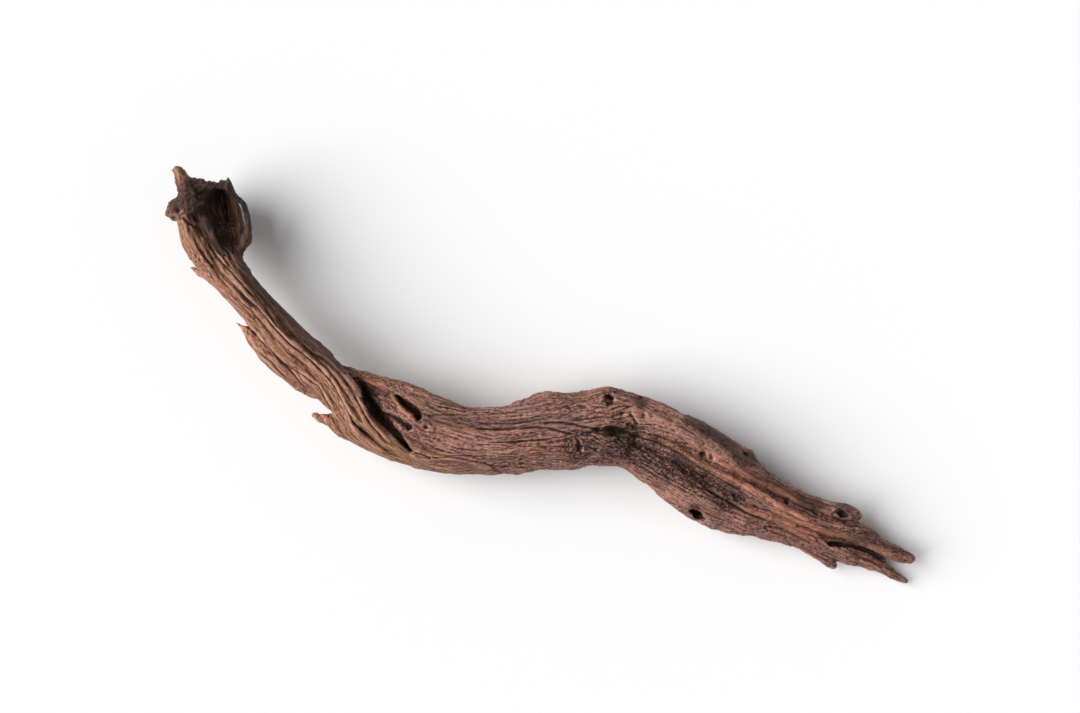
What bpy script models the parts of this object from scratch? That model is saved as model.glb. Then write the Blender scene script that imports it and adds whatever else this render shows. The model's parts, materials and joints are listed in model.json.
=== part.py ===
"""A piece of weathered driftwood: one solid that grew as one piece.

Run it with  blender --background --python part.py  or from Blender's text editor.

The wood is a bundle of limbs. Each limb is lofted through stations that are written in millimetres:
    (x, y, z, half_width, half_depth)
with x and y in plan, z the height of the limb's middle above the surface it lies on, half_width measured
level, and half_depth measured square to it. Voxel remeshing fuses the limbs into one skin, hollows are
cut out of it, and the splinters and lips that stand inside the hollows are added last.
"""

import math

import bmesh
import bpy
import numpy as np
from mathutils import Vector, noise

MM = 0.001

# Driving dimensions, in millimetres.
RING_SPACING = 3.0  # distance between two rings of a limb
RING_SIDES = 28  # points in a ring
SKIN_VOXEL = 1.25  # the detail that the fused skin can hold
LUMP_SIZE = 17.0  # size of the low lumps all over the wood
LUMP_HEIGHT = 1.3
FACE_BUDGET = 10000  # triangles left in the finished solid
SLAB_SIDE = 1000  # the cutter that wears the feet flat
SLAB_DEPTH = 40

# The arm: three twisted strands over a core, from the burl at its upper end to the belly.
ARM_CORE = [
    (-222, 96, 36, 14, 22), (-224, 82, 37, 12, 18), (-216, 67, 39, 10, 14), (-203, 50, 41, 9.5, 12),
    (-187, 31, 42, 10, 12), (-169, 12, 41, 11, 13), (-151, -5, 38, 11.5, 14), (-133, -22, 34, 11.5, 16),
    (-117, -40, 30, 10.5, 17), (-95, -52, 26, 10, 16),
]
ARM_FRONT = [
    (-247, 111, 50, 6, 8), (-243, 99, 50, 7.5, 11), (-239, 88, 50, 8, 12), (-232, 78, 49, 7.5, 11),
    (-222, 67, 48, 7.3, 10), (-211, 55, 48, 7, 9.5), (-200, 41, 48, 6, 9), (-190, 28, 48, 5, 9),
    (-178, 16, 47, 5, 9), (-166, 5, 46, 5, 9), (-154, -6, 44, 4.7, 9), (-145, -17, 42, 4.2, 9),
    (-141, -27, 39, 4.2, 8.5), (-134, -37, 36, 3.8, 8), (-122, -46, 32, 3.2, 7), (-107, -56, 27, 2.4, 5),
]
ARM_MIDDLE = [
    (-234, 113, 42, 3.5, 7), (-231, 99, 46, 4, 8), (-225, 86, 50, 4.2, 8), (-215, 74, 52, 4.2, 8),
    (-204, 60, 53, 4.4, 8), (-191, 43, 53, 4.6, 8), (-178, 27, 53, 4.6, 8), (-164, 15, 52, 4.4, 8),
    (-152, 3, 51, 4.4, 8), (-141, -10, 50, 4.6, 8), (-134, -24, 48, 4.8, 8), (-126, -38, 44, 4.8, 8),
    (-115, -49, 38, 4.2, 7), (-100, -58, 31, 3, 6), (-85, -64, 26, 1.8, 4),
]
ARM_BACK = [
    (-219, 89, 42, 4.5, 9), (-211, 78, 45, 4.6, 10), (-201, 63, 47, 4.6, 10), (-188.5, 49, 47, 4.6, 10),
    (-174.5, 35, 47, 5, 10), (-162.5, 24, 48, 4.8, 9), (-150, 13, 49, 4.6, 8), (-139, 1, 50, 4.6, 8),
    (-131, -11, 50, 5.4, 8), (-125, -23, 49, 5.2, 7), (-117, -35, 46, 5, 7), (-105, -46, 41, 5, 6.5),
    (-94, -56, 35, 3.6, 5), (-86, -61, 31, 1.6, 3),
]
ARM_FLAKE = [
    (-214, 37.5, 37, 1, 1.2), (-208, 32.5, 38, 2.4, 2.8), (-201, 26, 39, 4.8, 5), (-192, 16, 40, 6.6, 7),
    (-180.5, 5.5, 40, 7, 9), (-168, -4, 38, 6, 9), (-154, -14, 35, 4, 7),
]
ARM_LOWER_SPUR = [
    (-161, -28, 30, 1.4, 1.6), (-155, -29.5, 30, 2.8, 3.2), (-147, -32, 30, 4.6, 5.5), (-137, -38, 29, 5.4, 9),
    (-123, -46, 26, 5.2, 12), (-103, -56, 22, 5, 12),
]
ARM_UPPER_SPUR = [
    (-245, 75, 29, 1, 1.2), (-240.5, 72, 31, 1.8, 2), (-233, 68, 35, 2.8, 4), (-224, 62, 39, 3.2, 5),
]

# The burl at the upper end, hollowed like a scoop, with its horn, knob, rim and the heel it rests on.
BURL = [
    (-220, 77, 38, 9, 14), (-223, 86, 36, 13.5, 19), (-224, 95, 34, 16.5, 23), (-226, 105, 33, 18, 25),
    (-228, 115, 34, 17.5, 24), (-230, 122, 37, 14, 19), (-233, 127, 41, 9, 13),
]
BURL_HEEL = [
    (-222, 105, 34, 15, 15), (-223, 106, 20, 13, 13), (-224, 107, 10, 10.5, 11), (-224, 107, 3.2, 7, 7.5),
]
BURL_KNOB = [
    (-239, 118, 46, 10, 16), (-247, 116.5, 48, 8.5, 12), (-254, 113.5, 48, 6.6, 8), (-258, 111.5, 47, 5, 5.4),
]
BURL_HORN = [
    (-240, 121, 53, 9.5, 12), (-244, 128, 60, 7.4, 9), (-247, 136, 66, 4.6, 5.2),
    (-250.5, 142.5, 70, 2.1, 2.3),
]
BURL_RIM = [
    (-245, 131, 57, 3, 5), (-237, 131.5, 58, 3.5, 7), (-228, 129, 58, 3.5, 7), (-220, 127, 57, 3.6, 7),
    (-212, 123, 54, 3.2, 6),
]
BURL_NUB_TALL = [(-215, 127, 56, 4, 4), (-215, 132, 62, 3, 3.2), (-214.5, 136, 66, 1.2, 1.4)]
BURL_NUB_SMALL = [(-221, 128, 56, 2.4, 2.4), (-220.6, 132.5, 60, 1.7, 1.8), (-220.4, 135, 63, 0.9, 1)]
BURL_LOOP = [
    (-215.5, 126, 55, 3.5, 5), (-208.5, 119.5, 53, 3.3, 4.6), (-203.8, 110, 50, 2.3, 3.6),
    (-203.3, 100, 46, 2.4, 3.8), (-205.7, 93, 43, 3, 4.6), (-210.5, 85, 41, 3.8, 6), (-212, 77, 42, 4.2, 8),
]

# The belly and the broad middle of the piece.
BELLY = [
    (-141, -2, 29, 6, 8), (-125, -13, 29, 10, 14), (-109, -24, 28, 16, 22), (-92, -35, 27, 22, 26.5),
    (-71, -43, 27, 23.5, 28), (-46, -46.5, 28, 22, 26), (-22, -46.5, 29, 22.5, 25), (-1, -42, 31, 25, 26),
    (20, -39.5, 32, 26.5, 26),
    (41, -37.5, 32, 26, 26), (59, -40, 31, 22, 24),
]
BELLY_TOP_RIDGE = [
    (-142, 6, 37, 3, 5), (-131, 0.5, 38, 3.2, 6), (-120, -3, 38, 4.2, 8), (-106, -8, 39, 5.6, 10),
    (-88, -15, 40, 7, 11), (-71, -23.5, 42, 7.5, 11), (-50, -30, 43, 7, 10), (-25, -30.5, 44, 7.5, 10),
    (-4, -26, 45, 8.4, 10), (13, -23.5, 45, 9.5, 11), (31, -23.5, 44, 9.5, 11),
]
BELLY_MIDDLE_RIDGE = [
    (-81, -43, 43, 7, 9), (-57, -41, 46, 6.3, 9), (-29, -41.5, 47, 6.3, 9), (-1, -37.5, 48, 7, 9),
    (24, -34.5, 48, 7, 9), (41, -32, 46, 5.5, 8),
]
BELLY_LOW_RIDGE = [
    (-85, -54, 35, 6.3, 11), (-60, -55, 38, 7.5, 12), (-29, -55.5, 39, 7.5, 12), (-1, -53, 40, 7.5, 12),
    (24, -53, 40, 7, 12), (40, -51.5, 37, 5.5, 10),
]
BELLY_HEM = [
    (-88, -62, 25, 4, 11), (-64, -64.7, 26, 4, 12), (-36, -64.5, 27, 4, 12), (-8, -63, 28, 4, 11),
    (17, -63, 28, 3.5, 10),
]
HUMP_LEFT = [(-19, -24, 38, 4, 8), (-5, -20.5, 40, 5.6, 9), (7.7, -19.3, 42, 7.7, 11), (20, -21, 41, 6.3, 9)]
HUMP_RIGHT = [(33, -19, 41, 7, 10), (45.5, -19.3, 43, 10, 13), (61, -21.5, 40, 7, 11)]

# Past the humps the wood divides into two lobes with a crease between them.
UPPER_LOBE = [
    (31, -26, 42, 12.5, 15), (48, -24, 42, 14.5, 16), (69, -28, 40, 13, 16), (89, -36.5, 38, 13, 16),
    (111, -46.5, 36, 13, 16), (131, -58.5, 33, 12, 15), (151, -72.5, 30, 9.5, 13), (172, -84.5, 27, 8, 11),
    (192, -92.5, 25, 6.3, 9), (207, -96, 24, 5.8, 8), (217, -97, 22.5, 6, 7.2), (223, -99, 21.5, 5, 5.4),
]
LOWER_LOBE = [
    (40, -51.5, 28, 12, 22), (59, -53, 26, 12, 21), (76, -62, 24, 13, 21), (96, -74.5, 23, 16.5, 20),
    (115, -86, 22, 17, 19.5), (136, -95, 20, 16, 18), (157, -101.5, 18, 13.3, 16), (178, -109, 15.5, 12, 14),
    (198, -118, 12.5, 9.8, 12), (214, -125.5, 10, 6.8, 10.6), (226, -130.5, 9, 5.4, 8),
    (237.5, -135, 8, 4.6, 6), (248, -140.5, 7.5, 3.6, 4), (256.5, -145, 7, 2.2, 2.4),
    (260.5, -148, 6.5, 0.9, 1),
]
HEART_RIDGE = [
    (69, -43.5, 46, 3.5, 6), (87, -50, 46, 4.2, 7), (104, -57.5, 44, 5, 8), (124, -70, 40, 5, 9),
    (143, -80, 37, 5, 9), (164, -91, 33, 5.6, 10), (185, -101, 29, 5.6, 10), (206, -107, 25, 5.6, 9),
    (222, -112, 21, 5.6, 8), (233, -118, 18, 5.4, 7.5), (243, -123.5, 16, 5.2, 7),
    (253, -127.5, 14, 5.6, 6.5), (261, -129.8, 13, 5, 5.4), (264, -130.5, 12.5, 3.6, 4),
]
CREASE_CORE = [
    (40, -40, 28, 10, 18), (70, -46, 27, 9, 17), (100, -58, 26, 9, 16), (130, -74, 24, 9, 14),
    (160, -88, 21, 8, 12), (190, -100, 17, 7, 10),
]
TAIL_WEB = [
    (196, -114, 11, 6, 9), (212, -118.5, 11, 6, 7), (228, -124.5, 10, 5, 5.5), (243, -131.5, 9.5, 3.4, 3.6),
]
BROKEN_STEP = [
    (200, -106, 22, 6, 7), (219, -109, 20, 6.3, 6.5), (233, -113.5, 18, 5, 5), (237, -116.5, 17, 4, 4),
]
TAIL_SPUR = [
    (186, -121, 14, 4.6, 6), (196, -127.5, 13, 4, 5), (203, -132.5, 12, 3.2, 4), (208.5, -136, 11.5, 1.8, 2),
]
UPPER_BURR = [(136, -55, 31, 4, 7), (143.5, -57, 31, 5.2, 8), (147, -63, 28, 3.6, 6)]
LOWER_BOSS = [(74, -69, 24, 5, 12), (84, -78, 23, 6, 13), (97, -86, 22, 6, 12)]
LOWER_KNOT = [(103, -91, 21, 4, 7), (110, -95, 20, 4.5, 8), (117, -100, 19, 4.5, 7), (123, -106, 19, 4, 8)]

# Hollows, cut after the limbs are one skin. They are limbs too.
SCOOP = [
    (-210, 83, 60, 3, 7), (-212.5, 90, 60, 6.5, 15), (-216.5, 100, 58, 10, 21), (-219.5, 110, 57, 11.6, 26),
    (-222, 117, 58, 11.2, 25), (-223, 123.5, 63, 7.5, 15),
]
LOOP_SLIT = [(-205.9, 103.5, 30, 1.2, 34), (-206.8, 108, 30, 2.3, 34), (-207.7, 113, 30, 2.3, 34), (-208.8, 118, 30, 1.2, 34)]
FOLD_POCKET = [
    (-101.3, -14.9, 50, 1.8, 5), (-96, -19.4, 48, 3.8, 11), (-90, -24.2, 47, 5, 13),
    (-86.3, -27.8, 48, 4.8, 12), (-84.4, -31, 50, 3.2, 8),
]
FOLD_GROOVE = [
    (-127.5, 0.5, 51, 2, 6), (-124, -8, 49, 4, 12), (-120, -17.5, 48, 4.6, 14), (-114.5, -26, 48, 4.6, 13),
    (-107, -33.5, 48, 3.4, 11), (-97.5, -43, 47, 2.5, 8), (-89.5, -53, 43, 1.8, 6),
]
FOLD_BASIN = [
    (-121, -6.5, 51, 2.6, 6), (-113.5, -13.5, 52, 5.6, 8), (-106, -19, 53, 5.8, 8), (-99, -24.5, 54, 3.6, 5),
]
FLAP_UNDERCUT = [(-107, -30, 49, 2, 5), (-98, -32.5, 51, 3, 5), (-90, -36, 53, 1.6, 3)]
CREASE_MOUTH = [(30, -40, 57, 1.5, 3), (43, -38.5, 55, 3.5, 5), (55, -40, 53, 4, 6), (70, -44, 54, 2.5, 4)]
HUMP_PIT = [(45, -15, 54, 2.2, 3), (47.5, -15.8, 50, 2.6, 5), (50, -17, 53, 2, 4)]
KNOT_HOLE = [(104, -92.5, 31, 2, 6), (109, -96.5, 28, 3.8, 10), (113.5, -101.5, 24, 3.2, 9)]
KNOB_PIT = [(208, -94, 32, 1.6, 3), (211, -97, 30, 2.6, 4), (214, -99.5, 29, 1.8, 3)]
TAIL_CLEFT = [
    (202, -120, 25, 1.4, 5), (211, -119.5, 23, 2.2, 6), (220, -120.5, 21, 1.8, 6), (231, -126, 18, 1.4, 5),
    (243, -131.5, 14, 1.4, 5), (251, -136, 11, 2, 6),
]

# What stands inside a hollow is added after it is cut.
FOLD_FLAP = [
    (-118.5, -8, 39, 4.8, 3.6), (-112, -13.5, 41.5, 6.4, 3.6), (-105.5, -18.5, 44, 6, 3.2),
    (-99.5, -24.5, 47, 4, 2.8), (-92.5, -30, 50.5, 2.4, 2), (-84.8, -35, 53, 1, 1.2),
]
SCOOP_RIB_LEFT = [
    (-230, 97, 46, 2.2, 4), (-233, 107, 41, 1.9, 4), (-234, 115, 40, 1.7, 4), (-233, 123, 44, 1.5, 5),
]
SCOOP_RIB_RIGHT = [
    (-216, 89, 41, 2, 4), (-220, 99, 34, 1.9, 4), (-223, 109, 32, 1.8, 4), (-225, 119, 36, 1.6, 5),
]

LIMBS = {
    "arm_core": ARM_CORE,
    "arm_front": ARM_FRONT,
    "arm_middle": ARM_MIDDLE,
    "arm_back": ARM_BACK,
    "arm_flake": ARM_FLAKE,
    "arm_lower_spur": ARM_LOWER_SPUR,
    "arm_upper_spur": ARM_UPPER_SPUR,
    "burl": BURL,
    "burl_heel": BURL_HEEL,
    "burl_knob": BURL_KNOB,
    "burl_horn": BURL_HORN,
    "burl_rim": BURL_RIM,
    "burl_nub_tall": BURL_NUB_TALL,
    "burl_nub_small": BURL_NUB_SMALL,
    "burl_loop": BURL_LOOP,
    "belly": BELLY,
    "belly_top_ridge": BELLY_TOP_RIDGE,
    "belly_middle_ridge": BELLY_MIDDLE_RIDGE,
    "belly_low_ridge": BELLY_LOW_RIDGE,
    "belly_hem": BELLY_HEM,
    "hump_left": HUMP_LEFT,
    "hump_right": HUMP_RIGHT,
    "upper_lobe": UPPER_LOBE,
    "lower_lobe": LOWER_LOBE,
    "heart_ridge": HEART_RIDGE,
    "crease_core": CREASE_CORE,
    "tail_web": TAIL_WEB,
    "broken_step": BROKEN_STEP,
    "tail_spur": TAIL_SPUR,
    "upper_burr": UPPER_BURR,
    "lower_boss": LOWER_BOSS,
    "lower_knot": LOWER_KNOT,
}
HOLLOWS = {
    "scoop": SCOOP,
    "loop_slit": LOOP_SLIT,
    "fold_pocket": FOLD_POCKET,
    "fold_groove": FOLD_GROOVE,
    "fold_basin": FOLD_BASIN,
    "flap_undercut": FLAP_UNDERCUT,
    "crease_mouth": CREASE_MOUTH,
    "hump_pit": HUMP_PIT,
    "knot_hole": KNOT_HOLE,
    "knob_pit": KNOB_PIT,
    "tail_cleft": TAIL_CLEFT,
}
INNER_PIECES = {
    "fold_flap": FOLD_FLAP,
    "scoop_rib_left": SCOOP_RIB_LEFT,
    "scoop_rib_right": SCOOP_RIB_RIGHT,
}


def clear_scene():
    for obj in list(bpy.data.objects):
        bpy.data.objects.remove(obj)


def new_collection(name, hidden=False):
    made = bpy.data.collections.new(name)
    made.hide_render = hidden
    bpy.context.scene.collection.children.link(made)
    return made


def curve_through(stations, spacing):
    """Rows between the stations on a Catmull-Rom curve, about `spacing` apart, every column at once."""
    rows = np.array(stations, float)
    ends = np.vstack([2 * rows[0] - rows[1], rows, 2 * rows[-1] - rows[-2]])
    made = []
    for a, b, c, d in zip(ends, ends[1:], ends[2:], ends[3:]):
        steps = max(2, round(float(np.linalg.norm(c[:3] - b[:3])) / spacing))
        for t in np.arange(steps) / steps:
            bend = (2 * a - 5 * b + 4 * c - d) * t**2 + (3 * b - a - 3 * c + d) * t**3
            made.append(0.5 * (2 * b + (c - a) * t + bend))
    made.append(rows[-1])
    made = np.array(made)
    made[:, 3:] = np.maximum(made[:, 3:], 0.5 * rows[:, 3:].min(axis=0))
    return made


def flute(angle, along, seed):
    """How far the section stands out at this angle and distance: soft ridges that spiral slowly."""
    turn = angle + along * 0.012 + seed
    return 1 + 0.045 * math.sin(5 * turn) + 0.03 * math.sin(8 * turn + 0.03 * along + 2 * seed)


def add_limb(mesh, stations, seed, fluted=True):
    """Lofts a closed limb through its stations into the bmesh."""
    rows = curve_through(stations, RING_SPACING)
    points = [Vector(row[:3]) for row in rows]
    rings = []
    along = 0.0
    for i, row in enumerate(rows):
        before, after = points[max(i - 1, 0)], points[min(i + 1, len(points) - 1)]
        ahead = (after - before).normalized()
        level = ahead.cross(Vector((0, 0, 1)))
        level = level.normalized() if level.length > 0.2 else Vector((1, 0, 0))
        rise = level.cross(ahead).normalized()
        along += (points[i] - points[max(i - 1, 0)]).length
        ring = []
        for k in range(RING_SIDES):
            angle = math.tau * k / RING_SIDES
            size = flute(angle, along, seed) if fluted else 1
            offset = level * (math.cos(angle) * row[3]) + rise * (math.sin(angle) * row[4])
            ring.append(mesh.verts.new((points[i] + offset * size) * MM))
        rings.append(ring)
    for near, far in zip(rings, rings[1:]):
        for k in range(RING_SIDES):
            nxt = (k + 1) % RING_SIDES
            mesh.faces.new((near[k], near[nxt], far[nxt], far[k]))
    for ring, end, inner in ((rings[0], 0, 1), (rings[-1], -1, -2)):
        out = (points[end] - points[inner]).normalized()
        tip = mesh.verts.new((points[end] + out * 0.6 * min(rows[end][3], rows[end][4])) * MM)
        for k in range(RING_SIDES):
            mesh.faces.new((ring[k], ring[(k + 1) % RING_SIDES], tip))


def limbs_object(name, limbs, collection, fluted=True):
    """One object that holds these limbs as closed, overlapping shells."""
    mesh = bmesh.new()
    for seed, stations in enumerate(limbs.values()):
        add_limb(mesh, stations, seed, fluted)
    bmesh.ops.recalc_face_normals(mesh, faces=mesh.faces)
    data = bpy.data.meshes.new(name)
    mesh.to_mesh(data)
    mesh.free()
    obj = bpy.data.objects.new(name, data)
    collection.objects.link(obj)
    return obj


def as_helper(obj):
    obj.hide_render = True
    obj.display_type = "WIRE"
    return obj


def add_remesh(obj, name):
    remesh = obj.modifiers.new(name, "REMESH")
    remesh.mode = "VOXEL"
    remesh.voxel_size = SKIN_VOXEL * MM
    return remesh


def add_boolean(obj, name, operation, other):
    boolean = obj.modifiers.new(name, "BOOLEAN")
    boolean.operation = operation
    boolean.solver = "EXACT"
    boolean.object = other
    return boolean


def worn_plane(collection):
    """A slab whose top is the level surface that the heel, the belly and the tail are worn flat on."""
    bpy.ops.mesh.primitive_cube_add(size=1, location=(0, 0, -SLAB_DEPTH / 2 * MM))
    slab = bpy.context.object
    slab.name = "worn_plane"
    slab.scale = (SLAB_SIDE * MM, SLAB_SIDE * MM, SLAB_DEPTH * MM)
    bpy.ops.object.transform_apply(location=True, scale=True)
    for owner in list(slab.users_collection):
        owner.objects.unlink(slab)
    collection.objects.link(slab)
    return as_helper(slab)


def wood_material():
    material = bpy.data.materials.new("weathered_wood")
    material.use_nodes = True
    shader = material.node_tree.nodes["Principled BSDF"]
    shader.inputs["Base Color"].default_value = (0.17, 0.085, 0.06, 1)
    shader.inputs["Roughness"].default_value = 0.85
    shader.inputs["Metallic"].default_value = 0.0
    return material


def frozen(obj):
    """Replaces the object's mesh by its evaluated one and drops its modifiers."""
    graph = bpy.context.evaluated_depsgraph_get()
    data = bpy.data.meshes.new_from_object(obj.evaluated_get(graph), depsgraph=graph)
    obj.modifiers.clear()
    obj.data = data
    return obj


def lump(point):
    """Low lumps of the weathered surface, as a height in millimetres."""
    return LUMP_HEIGHT * noise.noise(point * (1000 / LUMP_SIZE)) + 0.4 * LUMP_HEIGHT * noise.noise(
        point * (2300 / LUMP_SIZE)
    )


def main():
    clear_scene()
    piece = new_collection("driftwood_piece")
    helpers = new_collection("cutters", hidden=True)

    wood = limbs_object("driftwood", LIMBS, piece)
    hollows = as_helper(limbs_object("hollows", HOLLOWS, helpers))
    inner = as_helper(limbs_object("inner_pieces", INNER_PIECES, helpers))
    for helper in (hollows, inner):
        add_remesh(helper, "fuse")
    add_remesh(wood, "fuse_limbs")
    add_boolean(wood, "cut_hollows", "DIFFERENCE", hollows)
    add_boolean(wood, "add_inner_pieces", "UNION", inner)
    add_remesh(wood, "fuse_skin")
    frozen(wood)

    normals = [vertex.normal.copy() for vertex in wood.data.vertices]
    for vertex, normal in zip(wood.data.vertices, normals):
        vertex.co += normal * (lump(vertex.co) * MM)

    smooth = wood.modifiers.new("soften", "SMOOTH")
    smooth.factor = 0.5
    smooth.iterations = 3
    frozen(wood)
    thin = wood.modifiers.new("thin_out", "DECIMATE")
    thin.ratio = FACE_BUDGET / sum(len(face.vertices) - 2 for face in wood.data.polygons)
    frozen(wood)

    across = [[vertex.co[axis] for vertex in wood.data.vertices] for axis in (0, 1)]
    middle = [(min(values) + max(values)) / 2 for values in across]
    for vertex in wood.data.vertices:
        vertex.co -= Vector((middle[0], middle[1], 0))
    print("plan's middle, mm:", [round(value / MM, 1) for value in middle])
    add_boolean(wood, "wear_feet_flat", "DIFFERENCE", worn_plane(helpers))
    wood.data.materials.clear()
    wood.data.materials.append(wood_material())


main()
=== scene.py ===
# %% [markdown]
# # A piece of driftwood
#
# Driftwood is a root or a branch that water, sand and sun have worn down to its hard fibres.
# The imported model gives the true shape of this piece: a twisted arm with a hollow burl at its
# upper end, a broad belly, and two lobes that run out into a splintered tail. This lesson
# carves the fine relief of the real wood into that shape and gives it its colour.
#
# Every place is a share of the model's box, in hundredths along x, y and z, so that nothing has
# to be fitted by hand if the model is packed again.

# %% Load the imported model
import json
import math
import time

import bmesh
import bpy
import numpy as np
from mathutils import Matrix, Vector, noise
from mathutils.bvhtree import BVHTree

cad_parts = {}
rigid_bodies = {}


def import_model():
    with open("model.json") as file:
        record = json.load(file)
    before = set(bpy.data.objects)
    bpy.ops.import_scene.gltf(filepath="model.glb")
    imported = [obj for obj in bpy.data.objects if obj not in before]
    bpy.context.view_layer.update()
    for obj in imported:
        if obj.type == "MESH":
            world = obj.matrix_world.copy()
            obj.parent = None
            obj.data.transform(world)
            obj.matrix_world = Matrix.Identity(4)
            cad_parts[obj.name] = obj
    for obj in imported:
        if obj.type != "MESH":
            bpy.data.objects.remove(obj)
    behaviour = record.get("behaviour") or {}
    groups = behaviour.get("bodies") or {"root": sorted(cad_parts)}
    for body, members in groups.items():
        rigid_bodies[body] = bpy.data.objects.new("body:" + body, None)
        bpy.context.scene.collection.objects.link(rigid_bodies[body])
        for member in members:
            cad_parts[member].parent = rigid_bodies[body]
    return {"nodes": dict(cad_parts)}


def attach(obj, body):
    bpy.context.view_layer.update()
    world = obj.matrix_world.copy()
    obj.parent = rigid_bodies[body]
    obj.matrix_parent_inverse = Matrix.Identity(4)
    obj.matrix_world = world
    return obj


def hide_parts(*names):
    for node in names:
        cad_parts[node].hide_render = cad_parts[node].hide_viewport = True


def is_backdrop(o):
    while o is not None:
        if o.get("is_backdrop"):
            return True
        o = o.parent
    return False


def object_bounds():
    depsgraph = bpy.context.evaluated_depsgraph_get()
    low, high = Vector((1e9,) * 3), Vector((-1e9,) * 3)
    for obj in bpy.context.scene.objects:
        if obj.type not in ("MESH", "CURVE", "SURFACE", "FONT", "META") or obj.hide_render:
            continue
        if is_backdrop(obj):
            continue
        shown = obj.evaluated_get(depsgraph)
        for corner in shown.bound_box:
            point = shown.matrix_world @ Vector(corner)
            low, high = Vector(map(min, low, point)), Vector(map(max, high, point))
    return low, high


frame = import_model()
CAD_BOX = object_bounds()

MM = 0.001
BOX_LOW = np.array(CAD_BOX[0])
BOX_SPAN = np.array(CAD_BOX[1]) - BOX_LOW
STARTED = time.time()


def at(shares):
    """Points in metres, from hundredths of the model's box."""
    return BOX_LOW + np.array(shares, float) / 100 * BOX_SPAN


for leftover in [o for o in bpy.data.objects if o.name in ("Cube", "Light", "Camera")]:
    bpy.data.objects.remove(leftover)
print("model's box, mm:", (BOX_SPAN / MM).round(1).tolist())

# %% [markdown]
# ## A skin fine enough to carve
#
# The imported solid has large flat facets. The real wood has ridges a millimetre wide, so the
# relief needs a mesh with points closer than that all over. Subdividing would keep the long thin
# triangles, and sculpting by hand couldn't be repeated. A voxel remesh gives even little quads
# everywhere.

# %% Remesh the solid
SKIN_STEP = 0.86 * MM
SAME_POINT = 0.001 * MM  # points closer than this are one


def fresh_skin(node, name, step):
    """A copy of the node's mesh, remeshed to quads about `step` across."""
    raw = bmesh.new()
    raw.from_mesh(node.data)
    bmesh.ops.remove_doubles(raw, verts=raw.verts, dist=SAME_POINT)
    mesh = bpy.data.meshes.new(name)
    raw.to_mesh(mesh)
    raw.free()
    skin = bpy.data.objects.new(name, mesh)
    bpy.context.scene.collection.objects.link(skin)
    remesh = skin.modifiers.new("even_quads", "REMESH")
    remesh.mode = "VOXEL"
    remesh.voxel_size = step
    graph = bpy.context.evaluated_depsgraph_get()
    skin.data = bpy.data.meshes.new_from_object(skin.evaluated_get(graph), depsgraph=graph)
    skin.modifiers.clear()
    return skin


wood = fresh_skin(frame["nodes"]["driftwood"], "driftwood_skin", SKIN_STEP)
print("skin:", len(wood.data.vertices), "points,", len(wood.data.polygons), "faces")

# %% [markdown]
# ## Melting the facets
#
# The remesh still shows the solid's facets as flat fields. Blender's Smooth modifier would melt
# them, but it would eat the thin splinters too. Here each pull towards the neighbours is followed
# by a push back out that is a little stronger, so the facets go and the splinters stay thick. The
# sums run on whole arrays at once, which makes them quick, and the later steps need them as well.

# %% Melt the facets
MELT_ROUNDS = 14
MELT_IN = 0.50
MELT_OUT = -0.53


def points_of(mesh):
    points = np.empty(len(mesh.vertices) * 3)
    mesh.vertices.foreach_get("co", points)
    return points.reshape(-1, 3)


def normals_of(mesh):
    normals = np.empty(len(mesh.vertices) * 3)
    mesh.vertices.foreach_get("normal", normals)
    return normals.reshape(-1, 3)


def set_points(mesh, points):
    mesh.vertices.foreach_set("co", points.ravel())
    mesh.update()


class Neighbours:
    """Averages any value over each point's neighbours along the mesh's edges."""

    def __init__(self, mesh):
        ends = np.empty(len(mesh.edges) * 2, np.int64)
        mesh.edges.foreach_get("vertices", ends)
        self.a, self.b = ends.reshape(-1, 2).T
        self.size = len(mesh.vertices)
        self.count = np.bincount(self.a, minlength=self.size)
        self.count = np.maximum(self.count + np.bincount(self.b, minlength=self.size), 1)

    def mean(self, values):
        total = np.bincount(self.a, values[self.b], self.size)
        total += np.bincount(self.b, values[self.a], self.size)
        return total / self.count

    def blurred(self, values, rounds, share=0.5):
        """The values after a number of steps of this share towards the neighbours' mean."""
        for _ in range(rounds):
            values = values + (self.mean(values) - values) * share
        return values

    def blurred_points(self, points, rounds, share=0.5):
        return np.stack([self.blurred(column, rounds, share) for column in points.T], axis=1)


near = Neighbours(wood.data)
melted = points_of(wood.data)
for _ in range(MELT_ROUNDS):
    melted = near.blurred_points(melted, 1, MELT_IN)
    melted = near.blurred_points(melted, 1, MELT_OUT)
melt_moves = np.linalg.norm(melted - points_of(wood.data), axis=1) / MM
set_points(wood.data, melted)
print("melting moved the points by up to %.1f mm" % melt_moves.max())

# %% [markdown]
# ## Which way the grain runs
#
# All the detail of wood follows its fibres. On this piece they run down the arm, turn into the
# belly, and part into the two lobes of the tail. A few guide lines through the middle of each
# limb say so. For each point of the skin we find the nearest place on a guide line, and keep
# three numbers: how far along the line it is, how far to the side of it, and how far above it.
# Noise that is stretched along the first number looks like fibres, and it bends with the limb.
# The lobes' lines start as one line in the belly, so that the fibres part without a seam.

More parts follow.
